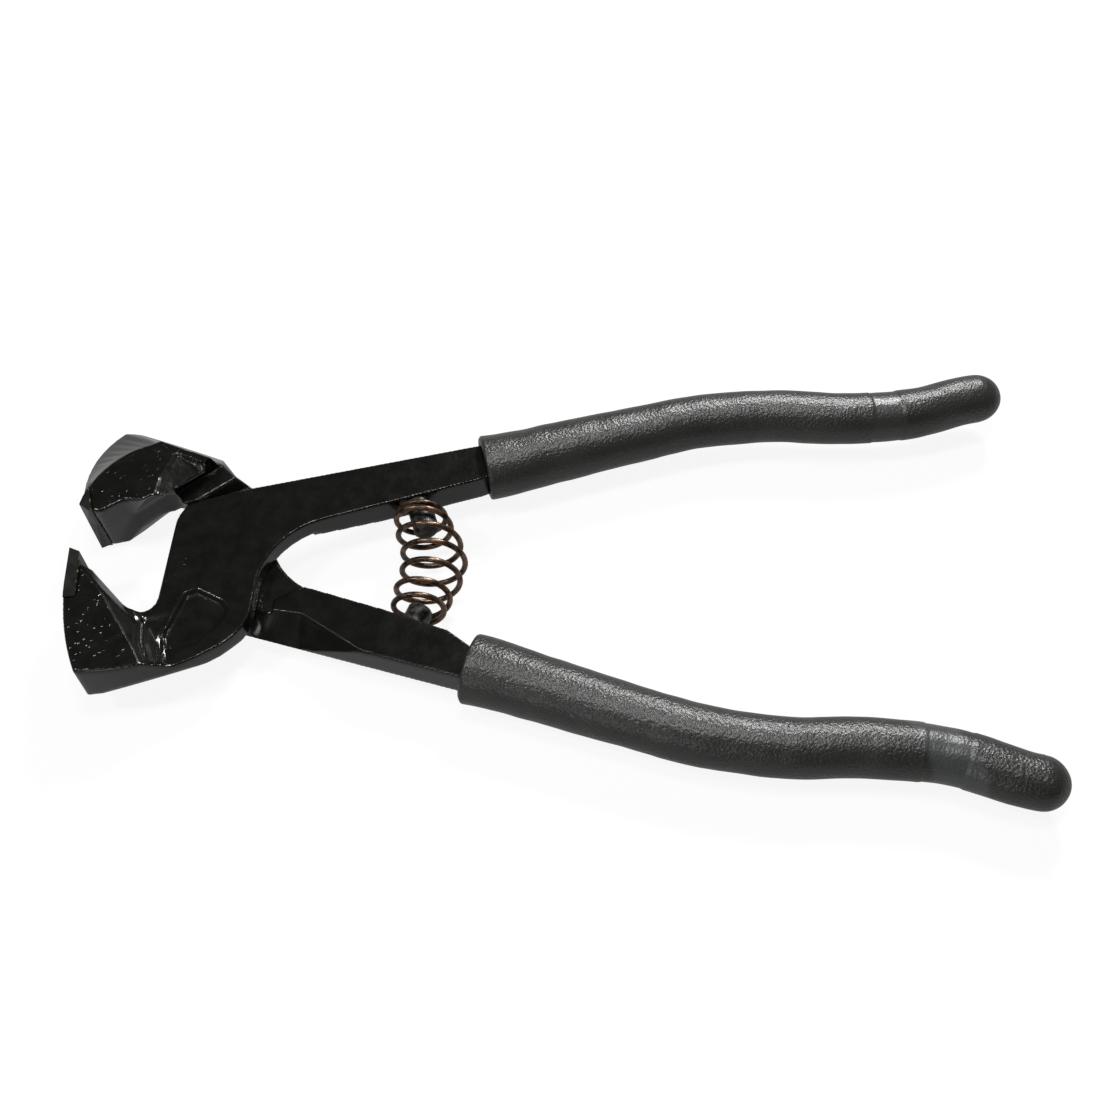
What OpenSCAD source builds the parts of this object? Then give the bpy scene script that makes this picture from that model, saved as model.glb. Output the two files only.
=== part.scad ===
// Mosaic nippers: two levers of one forging crossed in a lap joint, one turned over onto
// the other about the long axis, each jaw ground to its own front. Millimetres. The origin lies on the pivot axis in the
// parting plane of the lap, +X runs towards the handles and +Z out of the marked face.
// Every lever part is drawn once, with its handle on +Y and its jaw on -Y.

/* [Lap joint and pivot] */
// Radius of the round lap of each lever
disc_r = 13.5; // [13:0.1:14]
// Thickness of each lap half
disc_t = 4.3; // [4:0.1:4.6]
// Gap between the two laps
lap_gap = 0.1; // [0.04:0.02:0.2]
// Diameter of the pivot rivet
rivet_d = 8; // [6:0.5:10]
// Depth of the countersunk rivet heads
rivet_sink = 0.8; // [0.5:0.1:1]
// Radial play of the turning lever on the rivet
pivot_play = 0.05; // [0.02:0.01:0.1]
// Room between a jaw root and the round lap that turns inside it
lap_room = 0.6; // [0.4:0.1:0.9]

/* [Jaws] */
// Width of the jaws along the pivot axis
jaw_w = 16.7; // [15.5:0.1:18]
// Distance of the upper jaw's cutting edge ahead of the pivot
jaw_reach = 29.7; // [28.8:0.1:30.6]
// How much shorter the lower jaw is ground
lower_short = 1.2; // [0.6:0.1:1.6]
// Height of the steel jaw end off the long axis at rest
mouth_half = 7.9; // [7.4:0.1:8.6]
// Distance of the flat throat side ahead of the pivot
throat_x = 9.5; // [9:0.1:10]
// Radius at the bottom of the throat
throat_r = 3.4; // [3:0.1:3.8]
// How much shallower the throat is on the lap side
throat_web = 6; // [5:0.1:6.6]
// Depth of the jaw's nose below the long axis
nose_depth = 33; // [32:0.1:33.5]
// How far the nose of the lower jaw stands back from the cutting edge
lower_nose_back = 7.2; // [6.6:0.1:7.8]
// How far the nose of the upper jaw stands back from the cutting edge
upper_nose_back = 2.7; // [2.2:0.1:3.4]
// Radius of the ground front of the lower jaw
lower_nose_r = 58; // [50:1:80]
// Radius of the ground front of the upper jaw
upper_nose_r = 20; // [19.5:0.1:21]
// How much deeper the lower side of the upper jaw is ground
upper_grind = 1.5; // [0.8:0.1:1.6]
// Radius of the ground lower side of the jaw
belly_r = 42.3; // [40:0.5:48]
// Radius of the heel under the lap
heel_r = 11.8; // [11:0.1:12.4]
// Depth below the parting plane at which the ground bevel of the lap side starts at the nose
bevel_z = 1.5; // [1:0.1:2.5]
// Climb of that line from the nose to the heel
bevel_climb = 4; // [3:0.1:5]
// Radius of the flat cheek inside that bevel
cheek_r = 19; // [18:0.5:24]
// Thickness of the jaw root on the marked side
root_out = 5.4; // [5:0.1:5.8]
// Thickness of the jaw root on the lap side
root_in = 3.2; // [2.6:0.1:3.8]
// Slope of the forged face behind the marked cheek, in degrees
face_out_slope = 38; // [35:1:41]
// Slope of the forged face behind the lap side cheek, in degrees
face_in_slope = 17; // [14:1:20]
// Depth of the forged pocket in the marked face
pocket_deep = 0.8; // [0.4:0.1:1.2]

/* [Carbide tips] */
// Thickness of the carbide plates
tip_t = 2.2; // [1.8:0.1:2.6]
// Height of the carbide plates along the front of the jaw
tip_h = 7.5; // [6.5:0.1:9]
// Height by which the cutting edge of the lower plate stands out of its jaw
lower_edge_proud = 4.6; // [3.8:0.1:4.8]
// Height by which the inner edge of the lower plate stands out of its jaw
lower_back_proud = 2.1; // [1.6:0.1:2.4]
// How far the marked side of the upper jaw's end is ground back
upper_relief = 3.2; // [2.6:0.1:3.6]
// Thickness of the brazed seam
braze_t = 0.3; // [0.2:0.05:0.5]

/* [Shanks] */
// Thickness of the shanks
shank_t = 6.6; // [6:0.1:7.4]
// Distance of the outer shank edge from the pivot
shank_off = 14.1; // [13.8:0.1:14.6]
// Angle of the outer shank edge to the long axis
outer_angle = 14.7; // [13.7:0.1:15.7]
// Angle of the inner shank edge to the long axis
inner_angle = 18.9; // [18:0.1:19.5]
// Distance from the pivot at which the two inner edge lines cross, ahead of it
inner_x = 0.9; // [0:0.1:2]
// Radius of the crotch between the lap and the shank
crotch_r = 18; // [16:0.5:20]
// Right side of the lap below the crotch
heel_x = 10.5; // [10.2:0.1:11.2]
// Step of the lap side where the shank starts
ramp_step = 0.6; // [0.3:0.1:1]
// Distance from the pivot at which the lap side reaches the full shank thickness
ramp_end = 37; // [34:0.5:38]

/* [Grips] */
// Distance of the open grip end from the pivot
grip_start = 56; // [53:0.5:58]
// Angle of the open grip end to the long axis
grip_cut = 6; // [3:1:9]
// Overall reach of the grips
grip_end = 173; // [171:0.5:176]
// Radius of the grips at their open end
grip_r0 = 7.4; // [7.2:0.1:8.4]
// Radius of the grips at their closed end
grip_r1 = 5.6; // [5.4:0.1:6.2]
// Flatness of the grips: height over width
grip_flat = 0.94; // [0.92:0.01:1]
// Half width of the tang at the open grip end
tang_w0 = 4.5; // [4:0.1:4.8]
// Half width of the tang at its end
tang_w1 = 2.3; // [2:0.1:2.6]
// Distance of the tang's end from the pivot
tang_end = 158; // [150:1:162]
// Gap between the tang and the grip
grip_fit = 0.15; // [0.05:0.05:0.25]

/* [Spring] */
// Distance from the pivot at which the spring sits on the upper shank
upper_seat_x = 42.2; // [41.2:0.2:43.4]
// Distance from the pivot at which the spring sits on the lower shank
lower_seat_x = 43.6; // [42.6:0.2:44.8]
// Wire diameter
wire_d = 1.25; // [1:0.05:1.4]
// Number of coils
coils = 7; // [6:1:7]
// Radius of the wire's centre line at the ends of the spring
coil_r_end = 4.8; // [4.5:0.1:5.1]
// Radius of the wire's centre line at the belly of the spring
coil_r_mid = 6.6; // [6:0.1:7]
// How far the belly of the spring stands out towards the handles
spring_bow = 3; // [2:0.1:3.6]
// Closer coils at each end of the spring
close_coils = 1.25; // [1:0.25:1.5]
// Pitch of the closer coils
close_pitch = 1.85; // [1.8:0.05:2]
// Diameter of the pegs that hold the spring
peg_d = 5.5; // [4.5:0.1:6]
// Length of the upper peg
upper_peg = 8; // [6:0.1:8.2]
// Length of the lower peg
lower_peg = 4.5; // [3:0.1:4.8]

/* [Hidden] */
$fn = 96;
black_paint = [0.06, 0.06, 0.06];
half_w = jaw_w / 2;
lap_z = lap_gap / 2;
shank_z0 = disc_t - shank_t;
big = 60;

// Points of an arc about a centre
function arc_about(c, r, a0, a1, n) =
    [for (i = [0:n]) c + r * [cos(a0 + (a1 - a0) * i / n), sin(a0 + (a1 - a0) * i / n)]];

// Points of the arc of radius r from p to q that bulges to the right of the way p to q
function arc_between(p, q, r, n) =
    let (m = (p + q) / 2, d = q - p, half = norm(d) / 2)
    let (c = m + sqrt(max(r * r - half * half, 0)) * [-d.y, d.x] / norm(d))
    let (a0 = atan2(p.y - c.y, p.x - c.x), a1 = atan2(q.y - c.y, q.x - c.x))
    arc_about(c, r, a0, a1 < a0 ? a1 + 360 : a1, n);

// Height of the outer and inner shank edge at a distance x from the pivot
function outer_y(x) = shank_off / cos(outer_angle) + x * tan(outer_angle);
function inner_y(x) = (x + inner_x) * tan(inner_angle);

// Smooth curve through evenly spaced values, u from 0 to the last index
function spline(v, u) =
    let (i = min(max(floor(u), 0), len(v) - 2), t = u - i)
    let (a = v[max(i - 1, 0)], b = v[i], c = v[i + 1], d = v[min(i + 2, len(v) - 1)])
    b + 0.5 * t * (c - a + t * (2 * a - 5 * b + 4 * c - d + t * (3 * (b - c) + d - a)));

// Jaw outline, counter-clockwise: throat, jaw end, ground front, ground lower side, heel
jaw_end = [-jaw_reach + 4.9, -mouth_half + 1.8];
heel_c = [heel_x - heel_r, -14.3];
heel_low = heel_c + heel_r * [cos(-62), sin(-62)];
throat_c = [-throat_x - throat_r, -13];
throat_pts = arc_about(throat_c, throat_r, 0, -135, 6);
throat_web_share = [0.6, 0.8, 1, 1, 1, 1, 1];
throat_mid = (throat_pts[6] + jaw_end) / 2;

// Share of the marked side's relief that the inner edge of the plate follows
relief_share = 0.75;

// A jaw's front: reach, set-back and radius of the nose, shifts of the inner and the cutting
// edge along the front, relief of the marked side, depth of the flats on the lap side
lower_jaw = [jaw_reach - lower_short, lower_nose_back, lower_nose_r, 0, 0, 0, 0];
lower_plate = [jaw_reach - lower_short, lower_nose_back, lower_nose_r,
               lower_back_proud, lower_edge_proud, 0, 0];
upper_jaw = [jaw_reach, upper_nose_back, upper_nose_r, 0, 0, upper_relief, upper_grind];
function tip_out(jaw) = [-jaw[0], -mouth_half];
function tip_in(jaw) = [-jaw[0] + tip_t, -mouth_half + 1.5];
function nose_low(jaw) = [-jaw[0] + jaw[1], -nose_depth];
function nose_arc(jaw) = arc_between(tip_out(jaw), nose_low(jaw), jaw[2], 12);
function belly_arc(jaw) = arc_between(nose_low(jaw), heel_low, belly_r, 10);
function front_low(jaw) = nose_arc(jaw)[4];
function front_up(jaw) = (tip_out(jaw) - front_low(jaw)) / norm(tip_out(jaw) - front_low(jaw));
function jaw_top(jaw, share) =
    [jaw_end - jaw[5] * share * front_up(jaw),
     tip_in(jaw) + (jaw[3] - relief_share * jaw[5] * share) * front_up(jaw),
     tip_out(jaw) + jaw[4] * front_up(jaw)];

// The ring of the flat lap side cheek, point for point beside the full outline
cheek_turn = [-14.8, -25.1];
cheek_low = heel_low + [-0.5, 6.5];
function cheek_arc(jaw) = arc_between(tip_out(jaw), cheek_turn, cheek_r, 12);
cheek_back = arc_between(cheek_turn, cheek_low, 60, 10);

function full_ring(jaw, share) =
    let (nose = nose_arc(jaw), belly = belly_arc(jaw))
    concat(throat_pts, [throat_mid], jaw_top(jaw, share),
        [for (i = [1:12]) nose[i]], [for (i = [1:10]) belly[i]], [[heel_x - 8, -13]]);
function cheek_ring(jaw) =
    let (front = cheek_arc(jaw))
    concat([for (i = [0:6]) throat_pts[i] + throat_web_share[i] * [-0.8, throat_web]],
        [throat_mid + 0.25 * [-0.8, throat_web]], jaw_top(jaw, 0),
        [for (i = [1:12]) front[i]], [for (i = [1:10]) cheek_back[i]], [[heel_x - 8, -13]]);
function at_z(ring, z) = [for (p = ring) [p.x, p.y, z]];
function bevel_line(ring) =
    [for (i = [0:len(ring) - 1])
        [ring[i].x, ring[i].y, -bevel_z + bevel_climb * min(max(i - 22, 0), 10) / 10]];

// Outline of the lap plate, counter-clockwise from the throat corner
ramp_start = 14;
inner_start = 20;
plate_end = 30;
crotch_y = ((heel_x + crotch_r + inner_x) * sin(inner_angle) - crotch_r) / cos(inner_angle);
plate_outline = concat(
    [[-throat_x + 0.5, 8.6], [-throat_x, 6.5]], throat_pts, [[-16, -20], [-13, -30]],
    [for (i = [6:10]) belly_arc(lower_jaw)[i]], arc_about(heel_c, heel_r, -58, 0, 8),
    arc_about([heel_x + crotch_r, crotch_y], crotch_r, 180, 90 + inner_angle, 8),
    [[plate_end, inner_y(plate_end)]],
    [for (x = [plate_end, ramp_start, 2]) [x, outer_y(x)]],
    arc_about([0, 0], disc_r, 100, 126, 4));

// The centre line of the grips and tangs, in even steps of x from grip_x0 to grip_x1
grip_line = [25, 29.7, 34.7, 39.2, 41.2, 40.8, 42.5, 47.4];
grip_swell = [grip_r0, 6.6, 6.2, 6.05, grip_r1];
grip_x0 = 55.7;
grip_x1 = 167.9;
grip_z = disc_t - shank_t / 2;
function grip_y(x) =
    let (u = (x - grip_x0) / (grip_x1 - grip_x0) * (len(grip_line) - 1))
    u < 0 ? grip_line[0] + u * (grip_line[1] - grip_line[0]) : spline(grip_line, u);
function grip_r(x) =
    spline(grip_swell, max((x - grip_x0) / (grip_x1 - grip_x0), 0) * (len(grip_swell) - 1));
function grip_dir(x) =
    let (d = [2, grip_y(x + 1) - grip_y(x - 1)]) d / norm(d);
function tang_w(x) = tang_w0 + (tang_w1 - tang_w0) * (x - grip_start) / (tang_end - grip_start);
function tang_edge(x, side, extra) =
    [x, grip_y(x)] + side * (tang_w(x) + extra) * [-grip_dir(x).y, grip_dir(x).x];
tang_steps = 16;
function tang_x(i) = grip_start + 2 + (tang_end - grip_start - 2) * i / tang_steps;

// Material above a plane that falls from point p at height z, in the direction dir
module above_slope(p, z, dir, slope) {
    translate([p.x, p.y, z])
        rotate([0, 0, dir])
            rotate([0, slope, 0])
                translate([0, -big, 0])
                    cube([2 * big, 2 * big, big]);
}

// Solid through a stack of rings; its two caps fan out from one point of the lower side
cap_point = 28;
module loft(rings) {
    n = len(rings[0]);
    last = len(rings) - 1;
    polyhedron(
        points = [for (ring = rings) for (p = ring) p],
        faces = concat(
            [for (i = [1:n - 2]) [cap_point, (cap_point + i) % n, (cap_point + i + 1) % n]],
            [for (i = [1:n - 2])
                [last * n + cap_point, last * n + (cap_point + i + 1) % n,
                 last * n + (cap_point + i) % n]],
            [for (k = [0:last - 1]) for (i = [0:n - 1])
                [k * n + i, (k + 1) * n + i, (k + 1) * n + (i + 1) % n]],
            [for (k = [0:last - 1]) for (i = [0:n - 1])
                [k * n + i, (k + 1) * n + (i + 1) % n, k * n + (i + 1) % n]]),
        convexity = 6);
}

// The whole ground jaw block before its faces are stepped
module jaw_block(jaw) {
    loft([at_z(cheek_ring(jaw), -half_w),
          bevel_line(full_ring(jaw, (half_w - bevel_z) / jaw_w)),
          at_z(full_ring(jaw, 1), half_w)]);
}

// The box of a carbide plate and its seam, in the frame of the jaw's front
module tip_box(jaw, t, h) {
    along = front_low(jaw) - tip_out(jaw);
    translate([tip_out(jaw).x, tip_out(jaw).y, -big])
        rotate([0, 0, atan2(along.y, along.x)])
            translate([-h, -big, 0])
                cube([2 * h, big + t, 2 * big]);
}

// Forged steps between the cheeks and the lap, taken off the jaw block on both sides
cheek_out_edge = [-17.4, -17.9];
cheek_out_dir = 35.4;
cheek_in_edge = [-13.1, -17];
cheek_in_dir = 14;
face_in_edge = [-5.9, -18.1];
face_in_dir = 49;
face_in_z = 6;
steep = 65;
throat_dir = 45;
throat_edge_in = 2;
module jaw_steps() {
    above_slope(cheek_out_edge, half_w, cheek_out_dir, face_out_slope);
    above_slope(throat_mid - throat_edge_in * [cos(throat_dir), sin(throat_dir)], half_w,
                throat_dir, steep);
    mirror([0, 0, 1]) above_slope(cheek_in_edge, half_w, cheek_in_dir, face_in_slope);
    mirror([0, 0, 1]) above_slope(face_in_edge, face_in_z, face_in_dir, steep);
}

// The jaw root: a lower step on each side of the lap plate
root_out_edge = [-6, -22.5];
root_out_dir = 12.3;
root_top_edge = [-9, -17.2];
root_top_dir = 80;
root_in_dir = 50;
root_in_edge = (disc_r + lap_room + 0.1) * [-cos(root_in_dir), -sin(root_in_dir)];
module jaw_root(jaw) {
    difference() {
        translate([0, 0, lap_z]) linear_extrude(root_out - lap_z) polygon(full_ring(jaw, 1));
        above_slope(cheek_out_edge, half_w, cheek_out_dir, face_out_slope);
        above_slope(root_out_edge, root_out, root_out_dir, steep);
        above_slope(root_top_edge, root_out, root_top_dir, 40);
    }
    difference() {
        jaw_block(jaw);
        translate([-big, -big, -big - root_in]) cube([2 * big, 2 * big, big]);
        translate([-big, -big, lap_z + 0.5]) cube([2 * big, 2 * big, big]);
        mirror([0, 0, 1]) above_slope(root_in_edge, root_in, root_in_dir, steep);
    }
}

// Flats ground along the lower side and the heel of the jaw on the lap side
flats = [[24.9, -69.2, 1], [20.4, -45, 2.4]];
flat_slope = 55;
module jaw_flats(jaw) {
    mirror([0, 0, 1])
        for (f = flats)
            above_slope((f[0] - f[2] * jaw[6] - half_w / tan(flat_slope)) * [cos(f[1]), sin(f[1])],
                        half_w, f[1], flat_slope);
}

// The pocket that the forging die leaves in the marked face
pocket_top = [[-4, -11.2], [-1.5, -10.3], [4.2, -13], [6, -15.2], [4.2, -19.6], [0.4, -24],
              [-2.4, -25.1], [-5.4, -24.9], [-7, -22.6]];
pocket_mid = [-0.8, -17.5];
pocket_floor = 0.86;
module pocket() {
    hull() {
        translate([0, 0, disc_t - pocket_deep])
            linear_extrude(0.1)
                polygon([for (p = pocket_top) pocket_mid + pocket_floor * (p - pocket_mid)]);
        translate([0, 0, disc_t + 0.01]) linear_extrude(1) polygon(pocket_top);
    }
}

// Shank and tang in one outline; the lap side ramps up from the lap to the full thickness
module shank() {
    difference() {
        translate([0, 0, shank_z0])
            linear_extrude(shank_t)
                polygon(concat(
                    [[ramp_start, outer_y(ramp_start) - 8]],
                    [for (x = [inner_start, plate_end, grip_start]) [x, inner_y(x)]],
                    [for (i = [0:tang_steps]) tang_edge(tang_x(i), -1, 0)],
                    [for (i = [tang_steps:-1:0]) tang_edge(tang_x(i), 1, 0)],
                    [for (x = [grip_start, plate_end, ramp_start]) [x, outer_y(x)]]));
        translate([0, 2 * big, 0])
            rotate([90, 0, 0])
                linear_extrude(3 * big)
                    polygon([[0, -big], [0, lap_z], [ramp_start, lap_z], [ramp_start, -ramp_step],
                             [ramp_end, shank_z0], [ramp_end, -big]]);
    }
}

// Room on the lap side for the round lap of the other lever and for the heel that swings past
heel_room_r = 17;
module lap_space() {
    translate([0, 0, -big + lap_z]) cylinder(r = disc_r + lap_room, h = big);
}

module lever(rivet_r, jaw) {
    difference() {
        union() {
            difference() {
                jaw_block(jaw);
                jaw_steps();
                jaw_flats(jaw);
                tip_box(jaw, tip_t + braze_t, tip_h + braze_t);
            }
            difference() {
                union() {
                    jaw_root(jaw);
                    translate([0, 0, lap_z]) linear_extrude(disc_t - lap_z) polygon(plate_outline);
                }
                jaw_flats(jaw);
                tip_box(jaw, tip_t + braze_t, tip_h + braze_t);
            }
            difference() {
                shank();
                translate([0, 0, -big + lap_z]) cylinder(r = heel_room_r, h = big);
            }
        }
        lap_space();
        pocket();
        translate([0, 0, -1]) cylinder(r = rivet_r, h = disc_t + 2);
        translate([0, 0, disc_t - rivet_sink])
            cylinder(r1 = rivet_r, r2 = rivet_r + rivet_sink + 0.01, h = rivet_sink + 0.01);
    }
}

module front_lever() {
    color(black_paint) lever(rivet_d / 2, lower_jaw);
}

module rear_lever() {
    color(black_paint) rotate([180, 0, 0]) lever(rivet_d / 2 + pivot_play, upper_jaw);
}

// The rivet is countersunk at both ends and ground flush with the lever faces
module pivot_rivet() {
    color([0.12, 0.12, 0.12])
        rotate_extrude()
            polygon([[0, -disc_t], [rivet_d / 2 + rivet_sink - 0.05, -disc_t],
                     [rivet_d / 2, -disc_t + rivet_sink], [rivet_d / 2, disc_t - rivet_sink],
                     [rivet_d / 2 + rivet_sink, disc_t], [0, disc_t]]);
}

module carbide_tip(plate, jaw) {
    intersection() {
        jaw_block(plate);
        tip_box(jaw, tip_t, tip_h);
    }
}

module lower_carbide_tip() {
    color([0.3, 0.3, 0.31]) carbide_tip(lower_plate, lower_jaw);
}

module upper_carbide_tip() {
    color([0.3, 0.3, 0.31]) rotate([180, 0, 0]) carbide_tip(upper_jaw, upper_jaw);
}

// The seam fills the seat in the jaw around each carbide plate
module braze_seam(jaw) {
    difference() {
        intersection() {
            jaw_block(jaw);
            tip_box(jaw, tip_t + braze_t, tip_h + braze_t);
        }
        tip_box(jaw, tip_t, tip_h);
    }
}

module lower_braze_seam() {
    color([0.6, 0.45, 0.3]) braze_seam(lower_jaw);
}

module upper_braze_seam() {
    color([0.6, 0.45, 0.3]) rotate([180, 0, 0]) braze_seam(upper_jaw);
}

// A sleeve swept along the grip line, with a round closed end, over the tang
grip_rings = 30;
grip_sides = 20;
cap_rings = 6;
cap_x = grip_end - grip_r1;
sleeve_x = grip_start - 3;
function grip_ring(x, r) =
    let (c = [x, grip_y(x)], side = [-grip_dir(x).y, grip_dir(x).x])
    [for (j = [0:grip_sides - 1])
        let (a = 360 * j / grip_sides, p = c + r * cos(a) * side)
        [p.x, p.y, grip_z + r * grip_flat * sin(a)]];
module grip() {
    straight = [for (i = [0:grip_rings])
        let (x = sleeve_x + (cap_x - sleeve_x) * i / grip_rings) grip_ring(x, grip_r(x))];
    cap = [for (i = [1:cap_rings])
        let (a = 84 * i / cap_rings) grip_ring(cap_x + grip_r1 * sin(a), grip_r1 * cos(a))];
    rings = concat(straight, cap);
    last = len(rings) - 1;
    difference() {
        polyhedron(
            points = [for (ring = rings) for (p = ring) p],
            faces = concat(
                [[for (j = [0:grip_sides - 1]) j]],
                [[for (j = [grip_sides - 1:-1:0]) last * grip_sides + j]],
                [for (k = [0:last - 1]) for (j = [0:grip_sides - 1])
                    [k * grip_sides + j, (k + 1) * grip_sides + j,
                     (k + 1) * grip_sides + (j + 1) % grip_sides]],
                [for (k = [0:last - 1]) for (j = [0:grip_sides - 1])
                    [k * grip_sides + j, (k + 1) * grip_sides + (j + 1) % grip_sides,
                     k * grip_sides + (j + 1) % grip_sides]]),
            convexity = 4);
        tang_space();
        translate([grip_start, grip_y(grip_start), -big])
            rotate([0, 0, grip_cut])
                translate([-big, -big, 0])
                    cube([big, 2 * big, 2 * big]);
    }
}

module tang_space() {
    x0 = sleeve_x - 1;
    translate([0, 0, shank_z0 - grip_fit])
        linear_extrude(shank_t + 2 * grip_fit)
            polygon(concat(
                [[x0, inner_y(x0) - grip_fit]],
                [[grip_start, inner_y(grip_start) - grip_fit]],
                [for (i = [0:tang_steps]) tang_edge(tang_x(i) + (i == tang_steps ? grip_fit : 0), -1, grip_fit)],
                [for (i = [tang_steps:-1:0]) tang_edge(tang_x(i) + (i == tang_steps ? grip_fit : 0), 1, grip_fit)],
                [[grip_start, outer_y(grip_start) + grip_fit], [x0, outer_y(x0) + grip_fit]]));
}

module upper_grip() {
    color([0.16, 0.17, 0.17]) grip();
}

module lower_grip() {
    color([0.16, 0.17, 0.17]) rotate([180, 0, 0]) grip();
}

// Frame of a spring seat on the inner shank edge, its z axis square to that edge
module at_seat(x) {
    translate([x, inner_y(x), grip_z])
        rotate([0, 0, inner_angle])
            rotate([90, 0, 0])
                children();
}

module spring_peg(x, length) {
    edge = 0.6;
    at_seat(x)
        rotate_extrude()
            polygon([[0, 0], [peg_d / 2, 0], [peg_d / 2, length - edge],
                     [peg_d / 2 - edge, length], [0, length]]);
}

module upper_spring_peg() {
    color([0.2, 0.2, 0.2]) spring_peg(upper_seat_x, upper_peg);
}

module lower_spring_peg() {
    color([0.2, 0.2, 0.2]) rotate([180, 0, 0]) spring_peg(lower_seat_x, lower_peg);
}

// Bowed barrel spring: its end coils lean on the shanks with their near side, where the
// straight ends of the one unbroken wire meet the shanks square
coil_steps = 8;
wire_sides = 6;
seat_gap = 0.05;
upper_out = [sin(inner_angle), -cos(inner_angle), 0];
lower_out = [sin(inner_angle), cos(inner_angle), 0];
upper_seat = [upper_seat_x, inner_y(upper_seat_x), grip_z];
lower_seat = [lower_seat_x, -inner_y(lower_seat_x), -grip_z];
seat_line = lower_seat - upper_seat;
side_way = [-seat_line.y, seat_line.x, 0] / norm([seat_line.x, seat_line.y]);
function stand_off(out) = (coil_r_end * side_way * out + wire_d + seat_gap) * out;
spring_top = upper_seat + stand_off(upper_out);
spring_foot = lower_seat + stand_off(lower_out);
spring_way = spring_foot - spring_top;
free_h = norm(spring_way);
open_pitch = (free_h - 2 * close_coils * close_pitch) / (coils - 2 * close_coils);
function climb(w) =
    w < close_coils ? close_pitch * w
    : w < coils - close_coils ? close_pitch * close_coils + open_pitch * (w - close_coils)
    : free_h - close_pitch * (coils - w);
function wire_radial(w) = -cos(360 * w) * side_way + [0, 0, sin(360 * w)];
function wire_point(w) =
    let (belly = pow(sin(180 * climb(w) / free_h), 2))
    spring_top + climb(w) / free_h * spring_way + spring_bow * belly * side_way
    + (coil_r_end + (coil_r_mid - coil_r_end) * sin(180 * w / coils)) * wire_radial(w);
turns = [for (i = [0:coils * coil_steps]) i / coil_steps];
wire_w = concat([0], turns, [coils]);
wire_path = concat([wire_point(0) - wire_d * upper_out], [for (w = turns) wire_point(w)],
                   [wire_point(coils) - wire_d * lower_out]);
function wire_way(i) =
    i == 0 ? upper_out
    : i == len(wire_path) - 1 ? -lower_out
    : let (d = wire_path[i + 1] - wire_path[i - 1]) d / norm(d);
function wire_ring(i) =
    let (u = wire_radial(wire_w[i]), t = wire_way(i))
    let (e = (u - (u * t) * t) / norm(u - (u * t) * t), f = cross(t, e))
    [for (j = [0:wire_sides - 1])
        let (a = 360 * j / wire_sides)
        wire_path[i] + wire_d / 2 * (cos(a) * e + sin(a) * f)];
least_gap = min([for (i = [0:len(wire_path) - 1])
    for (j = [i + 5:1:min(i + 11, len(wire_path) - 1)]) norm(wire_path[i] - wire_path[j])]) - wire_d;
echo(least_gap_between_coils = least_gap);
module return_spring() {
    last = len(wire_path) - 1;
    n = wire_sides;
    color([0.36, 0.27, 0.22])
        polyhedron(
            points = [for (i = [0:last]) for (p = wire_ring(i)) p],
            faces = concat(
                [for (j = [1:n - 2]) [0, j + 1, j]],
                [for (j = [1:n - 2]) [last * n, last * n + j, last * n + j + 1]],
                [for (i = [0:last - 1]) for (j = [0:n - 1])
                    [i * n + j, i * n + (j + 1) % n, (i + 1) * n + (j + 1) % n]],
                [for (i = [0:last - 1]) for (j = [0:n - 1])
                    [i * n + j, (i + 1) * n + (j + 1) % n, (i + 1) * n + j]]),
            convexity = 20);
}

front_lever();
rear_lever();
pivot_rivet();
lower_carbide_tip();
upper_carbide_tip();
lower_braze_seam();
upper_braze_seam();
upper_grip();
lower_grip();
upper_spring_peg();
lower_spring_peg();
return_spring();
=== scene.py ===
"""Looks of a pair of mosaic nippers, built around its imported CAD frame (metres)."""

import math

import bmesh
import bpy
import numpy as np
from mathutils import Matrix, Vector


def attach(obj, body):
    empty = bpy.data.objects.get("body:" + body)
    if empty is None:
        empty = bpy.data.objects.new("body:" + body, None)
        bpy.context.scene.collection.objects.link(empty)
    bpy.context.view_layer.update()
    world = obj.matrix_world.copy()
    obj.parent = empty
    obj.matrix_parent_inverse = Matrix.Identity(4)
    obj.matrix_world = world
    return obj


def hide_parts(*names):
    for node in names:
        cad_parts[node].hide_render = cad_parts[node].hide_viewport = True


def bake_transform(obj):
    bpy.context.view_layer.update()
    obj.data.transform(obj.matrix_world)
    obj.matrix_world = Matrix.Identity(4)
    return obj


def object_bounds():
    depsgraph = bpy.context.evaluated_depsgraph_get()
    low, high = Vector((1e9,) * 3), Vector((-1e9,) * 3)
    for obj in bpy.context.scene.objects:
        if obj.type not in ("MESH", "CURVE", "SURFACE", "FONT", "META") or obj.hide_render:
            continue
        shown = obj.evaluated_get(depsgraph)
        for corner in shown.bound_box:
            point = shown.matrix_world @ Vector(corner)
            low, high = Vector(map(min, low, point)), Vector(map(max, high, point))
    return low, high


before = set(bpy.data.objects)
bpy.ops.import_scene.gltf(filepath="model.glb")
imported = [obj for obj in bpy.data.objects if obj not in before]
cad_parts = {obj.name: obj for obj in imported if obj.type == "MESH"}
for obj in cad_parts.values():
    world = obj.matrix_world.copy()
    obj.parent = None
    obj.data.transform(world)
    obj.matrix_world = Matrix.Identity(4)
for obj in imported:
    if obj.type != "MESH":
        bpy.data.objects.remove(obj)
cad_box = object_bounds()
bpy.context.scene.view_settings.view_transform = "Standard"
MM = 0.001


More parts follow.
